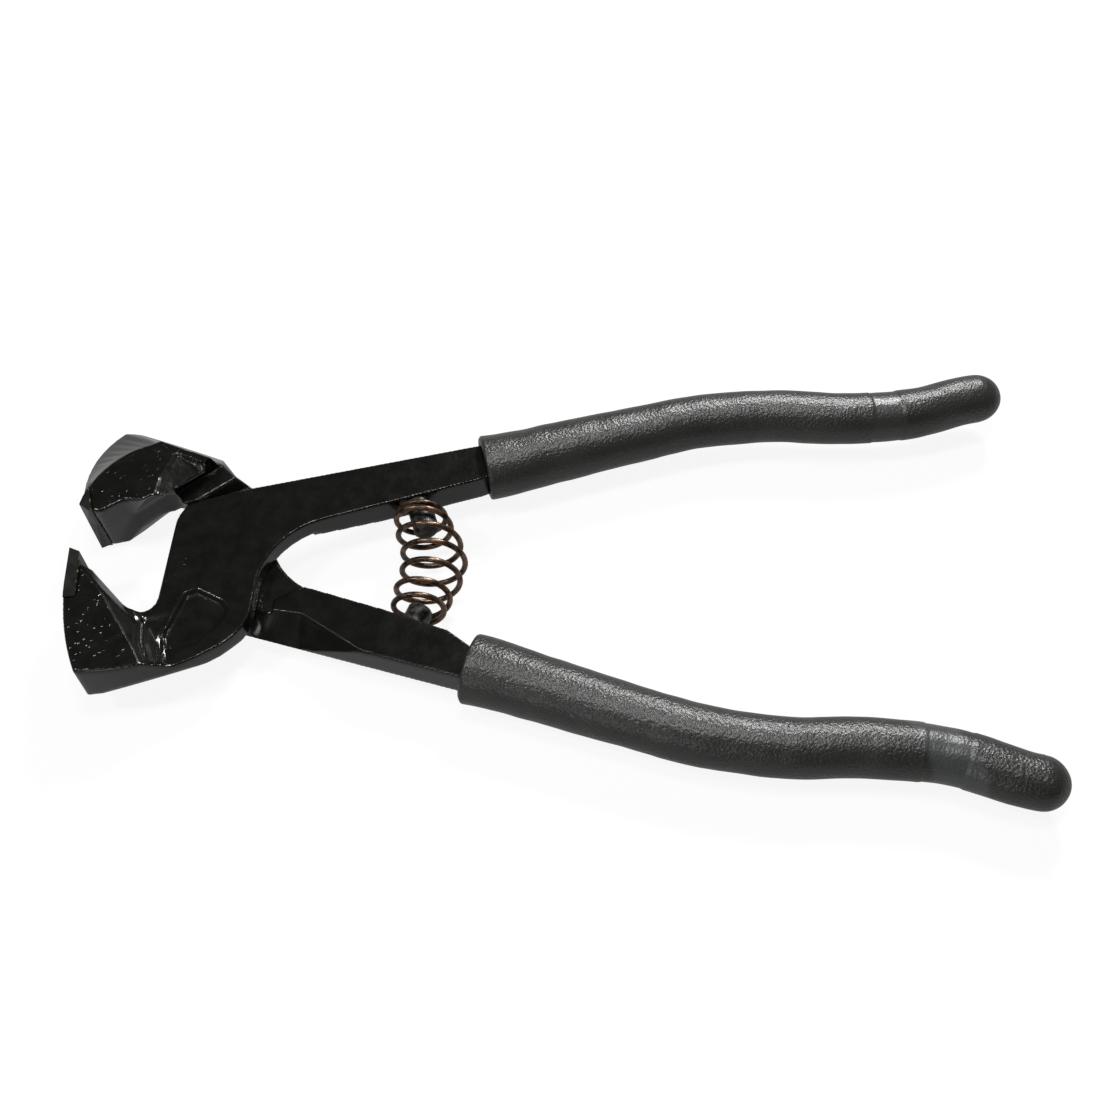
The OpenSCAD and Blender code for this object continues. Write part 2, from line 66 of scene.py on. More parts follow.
# The view
# The tool lies flat and is seen from above its lower grip, with a short studio lens close
# to it, so that the jaws lean a little away from the picture's edge.
turn_up = 0.969625
turn_side = 0.0755686
roll = -0.0443812
look_at = Vector((71.454, 3.868, 0.0)) * MM
distance = 292.297
back = Vector((math.sin(turn_side) * math.cos(turn_up),
               -math.cos(turn_side) * math.cos(turn_up), math.sin(turn_up)))
right = Vector((0, 0, 1)).cross(back).normalized()
above = back.cross(right)
cam_x = math.cos(roll) * right + math.sin(roll) * above
cam_y = -math.sin(roll) * right + math.cos(roll) * above
camera = bpy.data.objects.new("camera", bpy.data.cameras.new("camera"))
bpy.context.scene.collection.objects.link(camera)
camera.data.lens = 44.52
camera.data.sensor_width = 36.0
camera.data.clip_start = 0.01
camera.matrix_world = Matrix.Translation(look_at + back * distance * MM) @ Matrix(
    (cam_x, cam_y, back)).transposed().to_4x4()
bpy.context.scene.camera = camera


# The studio
# A white table under two soft lamps, one low on the near left and one over the grips, and
# two small ones whose glints run along the forged ridges.
def linear(hex_colour):
    """sRGB hex text to linear red, green, blue and alpha, by the sRGB curve."""
    c = np.array([int(hex_colour[i:i + 2], 16) for i in (1, 3, 5)]) / 255.0
    c = np.where(c <= 0.04045, c / 12.92, ((c + 0.055) / 1.055) ** 2.4)
    return (float(c[0]), float(c[1]), float(c[2]), 1.0)


def add(tree, kind, inputs=None, **settings):
    """A shader node with its settings, its input values and its links from other sockets."""
    made = tree.nodes.new(kind)
    for name, value in settings.items():
        setattr(made, name, value)
    for name, value in (inputs or {}).items():
        if isinstance(value, bpy.types.NodeSocket):
            tree.links.new(value, made.inputs[name])
        else:
            made.inputs[name].default_value = value
    return made


def finish_named(name):
    """A new material with its node tree and its Principled shader, linked to the output."""
    finish = bpy.data.materials.new(name)
    finish.use_nodes = True
    tree = finish.node_tree
    tree.nodes.clear()
    shader = add(tree, "ShaderNodeBsdfPrincipled")
    add(tree, "ShaderNodeOutputMaterial", {"Surface": shader.outputs[0]})
    return finish, tree, shader


def wear(obj, finish):
    """Puts one finish on an object's material slots."""
    if not obj.material_slots:
        obj.data.materials.append(finish)
    for slot in obj.material_slots:
        slot.material = finish


# The table lies just under the tool's lowest paint grain.
grain_below = 0.06
table_z = float(np.array(cad_box)[0][2]) - grain_below * MM
table_half = 1.5
corners = [(-table_half, -table_half, table_z), (table_half, -table_half, table_z),
           (table_half, table_half, table_z), (-table_half, table_half, table_z)]
sheet = bpy.data.meshes.new("table_top")
sheet.from_pydata(corners, [], [(0, 1, 2, 3)])
table = bpy.data.objects.new("table_top", sheet)
bpy.context.scene.collection.objects.link(table)

# White paper: to the camera it is lit up until it is white and keeps a faint shadow, and the
# gloss of the paint sees it dimmer, as in a tent of cloth.
paper, tree, shader = finish_named("white_paper")
surface_end = shader.outputs[0].links[0].to_socket
shader.inputs["Base Color"].default_value = linear("#F4F4F3")
shader.inputs["Roughness"].default_value = 0.9
ray = add(tree, "ShaderNodeLightPath")
level = add(tree, "ShaderNodeMapRange", {"Value": ray.outputs["Is Glossy Ray"],
                                         "To Min": 1.0, "To Max": 0.42})
glow = add(tree, "ShaderNodeEmission", {"Color": (1, 1, 1, 1), "Strength": level.outputs[0]})
seen = add(tree, "ShaderNodeMath", {0: ray.outputs["Is Camera Ray"],
                                    1: ray.outputs["Is Glossy Ray"]}, operation="ADD")
glow_share = 0.9
share = add(tree, "ShaderNodeMath", {0: seen.outputs[0], 1: glow_share}, operation="MULTIPLY")
mixed = add(tree, "ShaderNodeMixShader", {0: share.outputs[0], 1: shader.outputs[0],
                                          2: glow.outputs[0]})
tree.links.new(mixed.outputs[0], surface_end)
wear(table, paper)

world = bpy.data.worlds.new("studio")
bpy.context.scene.world = world
world.use_nodes = True
tree = world.node_tree
tree.nodes.clear()
ray = add(tree, "ShaderNodeLightPath")
# White behind the table, and a dim room for a little soft light.
dim = add(tree, "ShaderNodeBackground", {"Color": (1, 1, 1, 1), "Strength": 0.06})
white = add(tree, "ShaderNodeBackground", {"Color": (1, 1, 1, 1), "Strength": 1.0})
mixed = add(tree, "ShaderNodeMixShader", {0: ray.outputs["Is Camera Ray"], 1: dim.outputs[0],
                                          2: white.outputs[0]})
add(tree, "ShaderNodeOutputWorld", {"Surface": mixed.outputs[0]})


def soft_lamp(name, place, aim, size, watts):
    """A square area lamp at a place, turned to a point; metres and watts."""
    lamp = bpy.data.objects.new(name, bpy.data.lights.new(name, "AREA"))
    lamp.data.shape = "SQUARE"
    lamp.data.size = size
    lamp.data.energy = watts
    way = (Vector(place) - Vector(aim)).normalized()
    side = Vector((0.0, 1.0, 0.0)).cross(way).normalized()
    lamp.matrix_world = Matrix.Translation(Vector(place)) @ Matrix(
        (side, way.cross(side), way)).transposed().to_4x4()
    bpy.context.scene.collection.objects.link(lamp)


soft_lamp("near_lamp", (-0.10, -0.50, 0.28), (0.06, 0.0, 0.0), 0.20, 0.45)
soft_lamp("over_lamp", (0.09, 0.01, 0.62), (0.09, 0.0, 0.0), 0.12, 1.7)
soft_lamp("far_glint", (0.225, 0.42, 0.39), (0.0, 0.0, 0.0), 0.11, 3.6)
soft_lamp("side_glint", (-0.28, -0.08, 0.50), (-0.01, 0.0, 0.0), 0.07, 1.5)


# The forged levers
# Drop-forged steel in one piece from jaw to tang, ground at jaw front, belly and heel, then
# dipped in gloss black paint. The front one holds the rivet tight, the rear one turns on it.
def waves(points, length, seed, count=36):
    """Smooth noise: many plane waves of about one length in random directions, summed."""
    rng = np.random.default_rng(seed)
    way = rng.normal(size=(count, 3))
    way /= np.linalg.norm(way, axis=1)[:, None]
    pitch = 2 * np.pi / (length * rng.uniform(0.7, 1.5, count))
    phase = rng.uniform(0, 2 * np.pi, count)
    total = np.zeros(len(points))
    for i in range(count):
        total += np.sin(points @ way[i] * pitch[i] + phase[i])
    return total / math.sqrt(count / 2)


def ramp(x, low, high):
    """0 below low, 1 above high, smooth between."""
    t = np.clip((x - low) / (high - low), 0, 1)
    return t * t * (3 - 2 * t)


def vectors(values, name):
    """A vector property of a mesh's points, as rows of three."""
    rows = np.empty(len(values) * 3)
    values.foreach_get(name, rows)
    return rows.reshape(-1, 3)


def eased(mesh, points, rounds):
    """Evens the curved sides out and keeps their edges: in each round every point there moves
    half way to the mean of those neighbours whose normals are like its own."""
    count = len(points)
    normals = vectors(mesh.vertex_normals, "vector")
    ends = np.empty(len(mesh.edges) * 2, np.int64)
    mesh.edges.foreach_get("vertices", ends)
    i, j = ends.reshape(-1, 2).T
    upright = 1 - ramp(np.abs(normals[:, 2]), 0.74, 0.82)
    like = ramp((normals[i] * normals[j]).sum(1), 0.990, 0.9975) * upright[i] * upright[j]
    total = np.bincount(i, like, count) + np.bincount(j, like, count)
    for _ in range(rounds):
        mean = np.stack([np.bincount(i, like * points[j, k], count)
                         + np.bincount(j, like * points[i, k], count) for k in range(3)], 1)
        step = mean / np.maximum(total, 1e-9)[:, None] - points
        points = points + 0.5 * step * (total > 1.5)[:, None]
    return points


def joined_copy(name, nodes, cut_x):
    """A merged copy of CAD meshes, without what lies beyond cut_x."""
    whole = bmesh.new()
    for node in nodes:
        whole.from_mesh(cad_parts[node].data)
    bmesh.ops.remove_doubles(whole, verts=whole.verts, dist=1e-7)
    cut = bmesh.ops.bisect_plane(whole, geom=whole.verts[:] + whole.edges[:] + whole.faces[:],
                                 plane_co=(cut_x, 0, 0), plane_no=(1, 0, 0), clear_outer=True)
    rim = [e for e in cut["geom_cut"] if isinstance(e, bmesh.types.BMEdge)]
    bmesh.ops.triangle_fill(whole, edges=rim, use_beauty=True)
    bmesh.ops.recalc_face_normals(whole, faces=whole.faces)
    mesh = bpy.data.meshes.new(name)
    whole.to_mesh(mesh)
    whole.free()
    piece = bpy.data.objects.new(name, mesh)
    bpy.context.scene.collection.objects.link(piece)
    return piece


def applied(piece):
    """The piece with its modifiers applied."""
    bpy.context.view_layer.update()
    graph = bpy.context.evaluated_depsgraph_get()
    mesh = bpy.data.meshes.new_from_object(piece.evaluated_get(graph))
    piece.modifiers.clear()
    piece.data = mesh
    return piece


def from_line(points, line):
    """Signed distance in plan from a chain of points (left is positive), and 1 beside the
    chain falling to 0 past its ends."""
    best = np.full(len(points), 1e9)
    sign = np.ones(len(points))
    line = np.array(line, float)
    total = 0.0
    lengths = np.linalg.norm(np.diff(line, axis=0), axis=1)
    along = np.zeros(len(points))
    for a, b, length in zip(line[:-1], line[1:], lengths):
        way = (b - a) / length
        reach = np.clip((points[:, :2] - a) @ way, 0, length)
        off = points[:, :2] - a - reach[:, None] * way
        far = np.linalg.norm(off, axis=1)
        near = far < best
        best = np.where(near, far, best)
        sign = np.where(near, np.sign(way[0] * off[:, 1] - way[1] * off[:, 0]), sign)
        along = np.where(near, total + (points[:, :2] - a) @ way, along)
        total += length
    return best * sign, ramp(along, -1.0, 0.8) * (1 - ramp(along, total - 0.8, total + 1.0))


# The outer edge of each shank is forged off slantwise on the lap side: a full chamfer by the
# lap, and its run-out further along. A foot point and a normal each, in millimetres, handle
# on +Y.
chamfers = [((19.0, 19.56, 4.3), (-0.174, 0.663, -0.728)),
            ((19.0, 19.56, 4.8), (-0.466, 0.618, -0.700))]
# The upper cheek's flat top, the chain in plan where its forged flank begins, how far the flat
# runs on past it, and the two planes of the ground heel.
cheek_top = 8.35
cheek_edge = [(-16.5, 24.7), (-11.3, 22.7), (-6.0, 20.8), (-1.7, 19.1)]
cheek_reach = 1.1
heel = [((-0.34, 19.92, cheek_top), (0.605, 0.495, 0.17)),
        ((3.01, 15.86, cheek_top), (0.467, 0.611, 0.302))]
# The rivet's shaft is made a little slimmer, to keep clear of its bore in the rear lever.
rivet_r = 4.5
rivet_slimmed = 0.965


def brow(points, line, reach, top):
    """Carries a flat top on past a line to its left by reach, then down in a steep fall."""
    across, beside = from_line(points / MM, line)
    height = points[:, 2] / MM
    fall = 3
    ceiling = top - fall * np.clip(across - reach, 0, None)
    near = (across > -0.6) & (across < reach + 1.2) & (height > top - 4.5)
    points[:, 2] += near * beside * np.clip(ceiling - height, 0, None) * MM


def pressed_back(points, planes, deepest, share=1.0):
    """Presses back what lies beyond both planes, each a foot point in millimetres and a normal:
    along the first normal, by a share of its depth beyond the nearer one, up to deepest."""
    ways = [np.array(way) / np.linalg.norm(way) for _, way in planes]
    beyond = [(points - np.array(foot) * MM) @ way for (foot, _), way in zip(planes, ways)]
    cut = np.clip(np.minimum(*beyond), 0, deepest) * share
    points -= cut[:, None] * ways[0]


def die_ridges(points, details):
    """Heights of the die ridges in millimetres: each a crest between two furrows, and a step
    down to its left that comes back slowly."""
    ridge_height = 0.22
    ridges = np.zeros(len(points))
    for line, width, crest, left in details:
        across, beside = from_line(points / MM, line)
        edge = np.abs(across)
        ridges += crest * beside * (np.exp(-(across / (0.35 * width)) ** 2)
                                    - 1 + ramp(edge, 0.9 * width, 1.9 * width))
        ridges -= left * beside * ramp(across, -0.3, 0.3) * (1 - ramp(across, 2.5, 7.0))
    return ridges * ridge_height * ramp(points[:, 2], 0.002, 0.004)


def scale_marks(points, normals, seed):
    """Heights of the uneven flat faces in millimetres: long swells and short pits, both
    stronger towards the jaws."""
    flat = ramp(np.abs(normals[:, 2]), 0.93, 0.98)
    jaw = ramp(-points[:, 0], 0.004, 0.014)
    swells = (0.006 + 0.014 * jaw) * flat * waves(points, 0.0045, seed)
    pits = (0.004 + 0.008 * jaw) * flat * waves(points, 0.0016, seed + 1, 48)
    highest = 0.05
    return np.minimum(swells + pits, highest)


def smoothed(piece, rounds):
    """The piece after some rounds of even smoothing."""
    rounding = piece.modifiers.new("rounding", "SMOOTH")
    rounding.factor = 0.5
    rounding.iterations = rounds
    return applied(piece)


def forged(name, nodes, side, seed, details):
    """Rounds a lever's edges, chamfers its shank, draws its die ridges and roughens its faces
    as the forging die leaves them. Side is 1 for the front lever, -1 for the one turned over."""
    hidden_from = 0.064
    voxel = 0.00028
    piece = joined_copy(name, nodes, hidden_from)
    remesh = piece.modifiers.new("remesh", "REMESH")
    remesh.mode = "VOXEL"
    remesh.voxel_size = voxel * 1.0
    mesh = smoothed(applied(piece), 3).data
    even = eased(mesh, vectors(mesh.vertices, "co"), 50)
    mesh.vertices.foreach_set("co", even.ravel())
    mesh.update()
    mesh = smoothed(piece, 4).data
    points = vectors(mesh.vertices, "co")
    normals = vectors(mesh.vertex_normals, "vector")
    ridges = die_ridges(points, details)
    turned = np.array([1, side, side])
    by_the_lap = ramp(points[:, 0], 0.005, 0.011)
    pressed_back(points, [(foot * turned, way * turned) for foot, way in chamfers], np.inf,
                 by_the_lap)
    if side > 0:
        shaft = (np.hypot(points[:, 0], points[:, 1]) < rivet_r * MM) & (points[:, 2] < -0.1 * MM)
        points[:, :2] *= np.where(shaft, rivet_slimmed, 1.0)[:, None]
    else:
        brow(points, cheek_edge, cheek_reach, cheek_top)
        pressed_back(points, heel, deepest=0.004)
    off_the_lap = ramp(np.abs(points[:, 2]) - 0.0001, 0.0004, 0.0012)
    off_the_cut = ramp(hidden_from - points[:, 0], 0.001, 0.004)
    depth = (scale_marks(points, normals, seed) + ridges) * off_the_lap * off_the_cut
    points += normals * depth[:, None] * MM
    mesh.vertices.foreach_set("co", points.ravel())
    mesh.polygons.foreach_set("use_smooth", np.ones(len(mesh.polygons), bool))
    mesh.update()
    return piece


def mottled(tree, scale, detail, roughness, dark, light):
    """Two colours over a noise in Object coordinates, each full at its position on the ramp.
    Hands back the coordinates, the noise and the colour."""
    place = add(tree, "ShaderNodeTexCoord")
    noise = add(tree, "ShaderNodeTexNoise", {"Vector": place.outputs["Object"], "Scale": scale,
                                             "Detail": detail, "Roughness": roughness})
    tint = add(tree, "ShaderNodeValToRGB", {"Fac": noise.outputs["Fac"]})
    for stop, (position, hex_colour) in zip(tint.color_ramp.elements, (dark, light)):
        stop.position = position
        stop.color = linear(hex_colour)
    return place, noise, tint.outputs["Color"]


# Gloss black enamel, dipped: nearly black, with clouds of 4 mm, an orange-peel grain of 1 mm
# and grit of 0.4 mm on the flat faces, scattered pimples 0.6 mm wide on the jaws' cheeks, and a
# smoother skin on slopes and ground sides. Texture scales count cells in a metre.
enamel, tree, shader = finish_named("gloss_black_enamel")
place, tone, tint = mottled(tree, 260.0, 4.0, 0.6, (0.35, "#080906"), (0.72, "#10110D"))
tree.links.new(tint, shader.inputs["Base Color"])
normal = add(tree, "ShaderNodeSeparateXYZ", {0: place.outputs["Normal"]})
up = add(tree, "ShaderNodeMath", {0: normal.outputs["Z"]}, operation="ABSOLUTE")
grain_share = add(tree, "ShaderNodeMapRange", {"Value": up.outputs[0], "From Min": 0.90,
                                               "From Max": 0.97, "To Min": 0.2})
peel = add(tree, "ShaderNodeTexNoise", {"Vector": place.outputs["Object"], "Scale": 900.0,
                                        "Detail": 3.0, "Roughness": 0.55})
grit = add(tree, "ShaderNodeTexNoise", {"Vector": place.outputs["Object"], "Scale": 2600.0,
                                        "Detail": 2.0, "Roughness": 0.6})
both = add(tree, "ShaderNodeMath", {0: grit.outputs["Fac"], 1: 0.35, 2: peel.outputs["Fac"]},
           operation="MULTIPLY_ADD")
cell = add(tree, "ShaderNodeTexVoronoi", {"Vector": place.outputs["Object"], "Scale": 1300.0,
                                          "Randomness": 1.0})
round_top = add(tree, "ShaderNodeMapRange", {"Value": cell.outputs["Distance"],
                                             "From Min": 0.12, "From Max": 0.38,
                                             "To Min": 1.0, "To Max": 0.0})
tone_of_cell = add(tree, "ShaderNodeSeparateColor", {0: cell.outputs["Color"]})
chosen = add(tree, "ShaderNodeMath", {0: tone_of_cell.outputs[0], 1: 0.80},
             operation="GREATER_THAN")
spot = add(tree, "ShaderNodeSeparateXYZ", {0: place.outputs["Object"]})
at_jaws = add(tree, "ShaderNodeMapRange", {"Value": spot.outputs["X"], "From Min": -0.004,
                                           "From Max": -0.012})
on_flat = add(tree, "ShaderNodeMapRange", {"Value": up.outputs[0], "From Min": 0.955,
                                           "From Max": 0.985})
there = add(tree, "ShaderNodeMath", {0: at_jaws.outputs[0], 1: on_flat.outputs[0]},
            operation="MULTIPLY")
some = add(tree, "ShaderNodeMath", {0: chosen.outputs[0], 1: there.outputs[0]},
           operation="MULTIPLY")
pimple = add(tree, "ShaderNodeMath", {0: round_top.outputs[0], 1: some.outputs[0]},
             operation="MULTIPLY")
grainy = add(tree, "ShaderNodeMath", {0: pimple.outputs[0], 1: 1.3, 2: both.outputs[0]},
             operation="MULTIPLY_ADD")
felt = add(tree, "ShaderNodeMath", {0: grainy.outputs[0], 1: grain_share.outputs[0]},
           operation="MULTIPLY")
bump = add(tree, "ShaderNodeBump", {"Height": felt.outputs[0], "Strength": 0.55,
                                    "Distance": 0.00012})
tree.links.new(bump.outputs[0], shader.inputs["Normal"])
shine = add(tree, "ShaderNodeMapRange", {"Value": tone.outputs["Fac"], "To Min": 0.13,
                                         "To Max": 0.26})
tree.links.new(shine.outputs[0], shader.inputs["Roughness"])
shader.inputs["IOR"].default_value = 1.52

# Ridges where the die's parts met: a chain of points in plan, the width, the share of a crest
# and the share by which the left side lies lower, in millimetres.
lower_ridges = [([(-11.6, -18.4), (-9.8, -25.0), (-7.3, -30.0)], 0.8, 0.8, 1.3),
                ([(-6.7, -20.5), (-5.6, -25.5), (-5.0, -29.5)], 0.7, 1.0, 0.0)]
upper_ridges = [([(-11.0, 22.6), (-12.3, 18.9), (-13.6, 15.5), (-13.6, 11.2)], 0.9, 0.0, 1.1),
                ([(-6.9, 9.6), (-2.8, 13.4), (1.6, 16.2)], 0.8, 1.0, 0.0)]
front = forged("front_lever_forging", ["front_lever", "pivot_rivet"], 1, 11, lower_ridges)
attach(front, "marked_lever")
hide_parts("front_lever", "pivot_rivet")
wear(front, enamel)

rear = forged("rear_lever_forging", ["rear_lever"], -1, 23, upper_ridges)
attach(rear, "turning_lever")
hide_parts("rear_lever")
wear(rear, enamel)


# The carbide plates
# Sintered tungsten carbide, ground on the cutting edge and front, brazed into the jaw ends
# and partly covered by the paint.

# Ground carbide: dark grey and a quarter metallic, with grinding lines down the edge, drawn
# 0.4 mm apart because a wheel's real lines are too fine to show.
carbide, tree, shader = finish_named("ground_carbide")
place, _, tint = mottled(tree, 420.0, 4.0, 0.6, (0.38, "#12130F"), (0.68, "#22231F"))
tree.links.new(tint, shader.inputs["Base Color"])
streak = add(tree, "ShaderNodeMapping", {"Vector": place.outputs["Object"],
                                         "Scale": (2500.0, 2500.0, 160.0)})
lines = add(tree, "ShaderNodeTexNoise", {"Vector": streak.outputs[0], "Scale": 1.0,
                                         "Detail": 3.0, "Roughness": 0.6})
bump = add(tree, "ShaderNodeBump", {"Height": lines.outputs["Fac"], "Strength": 0.3,
                                    "Distance": 0.00003})
tree.links.new(bump.outputs[0], shader.inputs["Normal"])
shader.inputs["Metallic"].default_value = 0.25
shader.inputs["Roughness"].default_value = 0.34
for node in ("lower_carbide_tip", "upper_carbide_tip"):
    wear(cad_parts[node], carbide)


# The braze seams
# Silver solder that ran out around each plate: a thin brassy line with dark flux on it.

# Brass-coloured solder: warm spots about 1.5 mm apart in a line of burnt flux and paint.
solder, tree, shader = finish_named("brass_solder")
_, burn, tint = mottled(tree, 700.0, 5.0, 0.65, (0.56, "#11110D"), (0.68, "#8A6A50"))
tree.links.new(tint, shader.inputs["Base Color"])
bump = add(tree, "ShaderNodeBump", {"Height": burn.outputs["Fac"], "Strength": 0.5,
                                    "Distance": 0.0001})
tree.links.new(bump.outputs[0], shader.inputs["Normal"])
shader.inputs["Metallic"].default_value = 0.6
shader.inputs["Roughness"].default_value = 0.45
for node in ("lower_braze_seam", "upper_braze_seam"):
    wear(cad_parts[node], solder)


# The grips
# Vinyl sleeves dipped on the tangs: soft, charcoal grey, with a fine leathery grain, a
# thick open lip, and a smoother band near the closed end where the mould parted.
def catmull(values, u):
    """Smooth curve through evenly spaced values at the positions u: a cubic for each span,
    whose slope at a value is half the step between its neighbours."""
    v = np.asarray(values, float)
    i = np.clip(np.floor(u).astype(int), 0, len(v) - 2)
    t = u - i
    a, b, c, d = (v[np.clip(i + k, 0, len(v) - 1)] for k in (-1, 0, 1, 2))
    return b + 0.5 * t * (c - a + t * (2 * a - 5 * b + 4 * c - d + t * (3 * (b - c) + d - a)))


def surface(name, grid, caps=False):
    """A mesh from a grid of points, closed around its second direction, and with caps also at
    its first and last row."""
    rows, cols = grid.shape[:2]
    i, j = np.meshgrid(np.arange(rows - 1), np.arange(cols), indexing="ij")
    k = (j + 1) % cols
    quads = np.stack([i * cols + j, (i + 1) * cols + j, (i + 1) * cols + k, i * cols + k], -1)
    faces = [tuple(q) for q in quads.reshape(-1, 4).tolist()]
    if caps:
        faces.append(tuple(range(cols)))
        faces.append(tuple(range(rows * cols - 1, (rows - 1) * cols - 1, -1)))
    mesh = bpy.data.meshes.new(name)
    mesh.from_pydata(grid.reshape(-1, 3).tolist(), [], faces)
    outwards = bmesh.new()
    outwards.from_mesh(mesh)
    bmesh.ops.recalc_face_normals(outwards, faces=outwards.faces)
    outwards.to_mesh(mesh)
    outwards.free()
    mesh.polygons.foreach_set("use_smooth", np.ones(len(mesh.polygons), bool))
    made = bpy.data.objects.new(name, mesh)
    bpy.context.scene.collection.objects.link(made)
    return made


# In millimetres: knots of the centre line's y and of the radius, evenly spaced over x, the
# middle's height, the sleeve's open and closed ends, and its lip. The open end is cut aslant.
grip_line = [25, 29.7, 34.7, 39.2, 41.2, 40.8, 42.5, 47.4]
grip_swell = [7.4, 6.6, 6.2, 6.05, 5.6]
grip_from = 55.7
grip_to = 167.9
grip_height = 1.0
sleeve_start = 56.0
sleeve_end = 167.4
lip = 0.75
cut_angle = math.radians(6)


def grip_centre(x):
    """The sleeve's centre line: y over x, straight before its first knot."""
    last = len(grip_line) - 1
    u = (x - grip_from) / (grip_to - grip_from) * last
    return np.where(u < 0, grip_line[0] + u * (grip_line[1] - grip_line[0]),
                    catmull(grip_line, np.clip(u, 0, last)))


def grip_radius(x):
    """The sleeve's radius over x, a smooth curve through its knots."""
    last = len(grip_swell) - 1
    return catmull(grip_swell, np.clip((x - grip_from) / (grip_to - grip_from), 0, 1) * last)


def sleeve(name, mirror, seed, band):
    """A round profile carried along the centre line: a rounded lip, the sleeve with a shallow
    band where the mould parted, and a closed end that is half a ball. Soft dents are pressed in."""
    sides = 160
    rows = 420
    band_depth = 0.16
    band_edge = 0.4
    flattened = 0.94
    x = np.linspace(sleeve_start, sleeve_end, rows)
    from_lip = np.clip(lip - (x - sleeve_start), 0, lip)
    r = grip_radius(x) - 0.9 * (lip - np.sqrt(lip ** 2 - from_lip ** 2))
    r -= band_depth * ramp(x, band[0] - band_edge, band[0] + band_edge) * (
        1 - ramp(x, band[1] - band_edge, band[1] + band_edge))
    turn = np.linspace(0, math.radians(89.5), 26)[1:]
    x_end = sleeve_end + grip_swell[-1] * np.sin(turn)
    r_end = grip_swell[-1] * np.cos(turn)
    x_in = sleeve_start + np.array([0.0, 0.2, 2.2])
    r_in = grip_swell[0] - 0.7 - np.array([0.25, 1.1, 2.0])
    xs = np.concatenate([x_in[::-1], x, x_end])
    rs = np.concatenate([r_in[::-1], r, r_end])
    ys = grip_centre(xs)
    step = 0.5
    dy = (grip_centre(xs + step) - grip_centre(xs - step)) / (2 * step)
    way = np.stack([np.ones_like(xs), dy], 1) / np.sqrt(1 + dy ** 2)[:, None]
    a = np.linspace(0, 2 * np.pi, sides, endpoint=False)
    across = rs[:, None] * np.cos(a)[None, :]
    tall = rs[:, None] * flattened * np.sin(a)[None, :]
    by_the_cut = (1 - ramp(xs, 54.0, 66.0))[:, None]
    aslant = -across * math.tan(cut_angle) * by_the_cut * 0.9
    px = xs[:, None] - across * way[:, 1:2] + aslant
    py = ys[:, None] + across * way[:, 0:1]
    pz = grip_height + tall
    grid = np.stack([px, py, pz], -1)
    flat = grid.reshape(-1, 3)
    out_way = np.stack([-way[:, 1:2] * np.cos(a), way[:, 0:1] * np.cos(a),
                        np.sin(a)[None, :] + 0 * way[:, 0:1]], -1).reshape(-1, 3)
    dent = -0.07 - 0.05 * waves(flat * MM, 0.018, seed) - 0.03 * waves(flat * MM, 0.006, seed + 1)
    dent = np.minimum(dent, 0.0)
    grid = (flat + out_way * dent[:, None]).reshape(grid.shape)
    if mirror:
        grid = grid * np.array([1, -1, -1])
    return surface(name, grid * MM)


def vinyl_finish(name, band_from, band_to, skew, pale):
    """Dipped vinyl: half-gloss charcoal with a leathery grain of 0.5 to 0.6 mm and clouds of
    8 mm, paler and smoother between two lines across the grip, slanting by skew."""
    fade = 0.0006
    finish, tree, shader = finish_named(name)
    place, _, tint = mottled(tree, 120.0, 3.0, 0.5, (0.3, "#222321"), (0.75, "#2C2D2A"))
    spot = add(tree, "ShaderNodeSeparateXYZ", {0: place.outputs["Object"]})
    across = add(tree, "ShaderNodeMath", {0: spot.outputs["Y"], 1: skew, 2: spot.outputs["X"]},
                 operation="MULTIPLY_ADD")
    into = add(tree, "ShaderNodeMapRange", {"Value": across.outputs[0],
                                            "From Min": band_from - fade,
                                            "From Max": band_from + fade})
    leave = add(tree, "ShaderNodeMapRange", {"Value": across.outputs[0],
                                             "From Min": band_to - fade,
                                             "From Max": band_to + fade,
                                             "To Min": 1.0, "To Max": 0.0})
    band = add(tree, "ShaderNodeMath", {0: into.outputs[0], 1: leave.outputs[0]},
               operation="MULTIPLY")
    paler = add(tree, "ShaderNodeMix", {"Factor": band.outputs[0], "A": tint,
                                        "B": linear(pale)}, data_type="RGBA")
    tree.links.new(paler.outputs["Result"], shader.inputs["Base Color"])
    leather = add(tree, "ShaderNodeTexVoronoi", {"Vector": place.outputs["Object"],
                                                 "Scale": 1600.0, "Randomness": 1.0})
    grain = add(tree, "ShaderNodeTexNoise", {"Vector": place.outputs["Object"],
                                             "Scale": 2000.0, "Detail": 2.0,
                                             "Roughness": 0.6})
    heap = add(tree, "ShaderNodeMath", {0: leather.outputs["Distance"], 1: 0.6,
                                        2: grain.outputs["Fac"]}, operation="MULTIPLY_ADD")
    depth = add(tree, "ShaderNodeMapRange", {"Value": band.outputs[0], "To Min": 1.0,
                                             "To Max": 0.6})
    height = add(tree, "ShaderNodeMath", {0: heap.outputs[0], 1: depth.outputs[0]},
                 operation="MULTIPLY")
    bump = add(tree, "ShaderNodeBump", {"Height": height.outputs[0], "Strength": 0.9,
                                        "Distance": 0.00013})
    tree.links.new(bump.outputs[0], shader.inputs["Normal"])
    shader.inputs["Roughness"].default_value = 0.34
    shader.inputs["IOR"].default_value = 1.5
    return finish


upper = sleeve("upper_sleeve", False, 5, (142.7, 149.2))
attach(upper, "marked_lever")
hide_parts("upper_grip")
wear(upper, vinyl_finish("upper_vinyl", 0.1427, 0.1492, 0.0, "#2C2D2B"))

lower = sleeve("lower_sleeve", True, 8, (145.6, 154.2))
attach(lower, "turning_lever")
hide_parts("lower_grip")
wear(lower, vinyl_finish("lower_vinyl", 0.1270, 0.1360, 0.42, "#3A3C3B"))


# The spring pegs
# Turned steel studs driven into the shanks, painted with them, their ends rubbed bare.

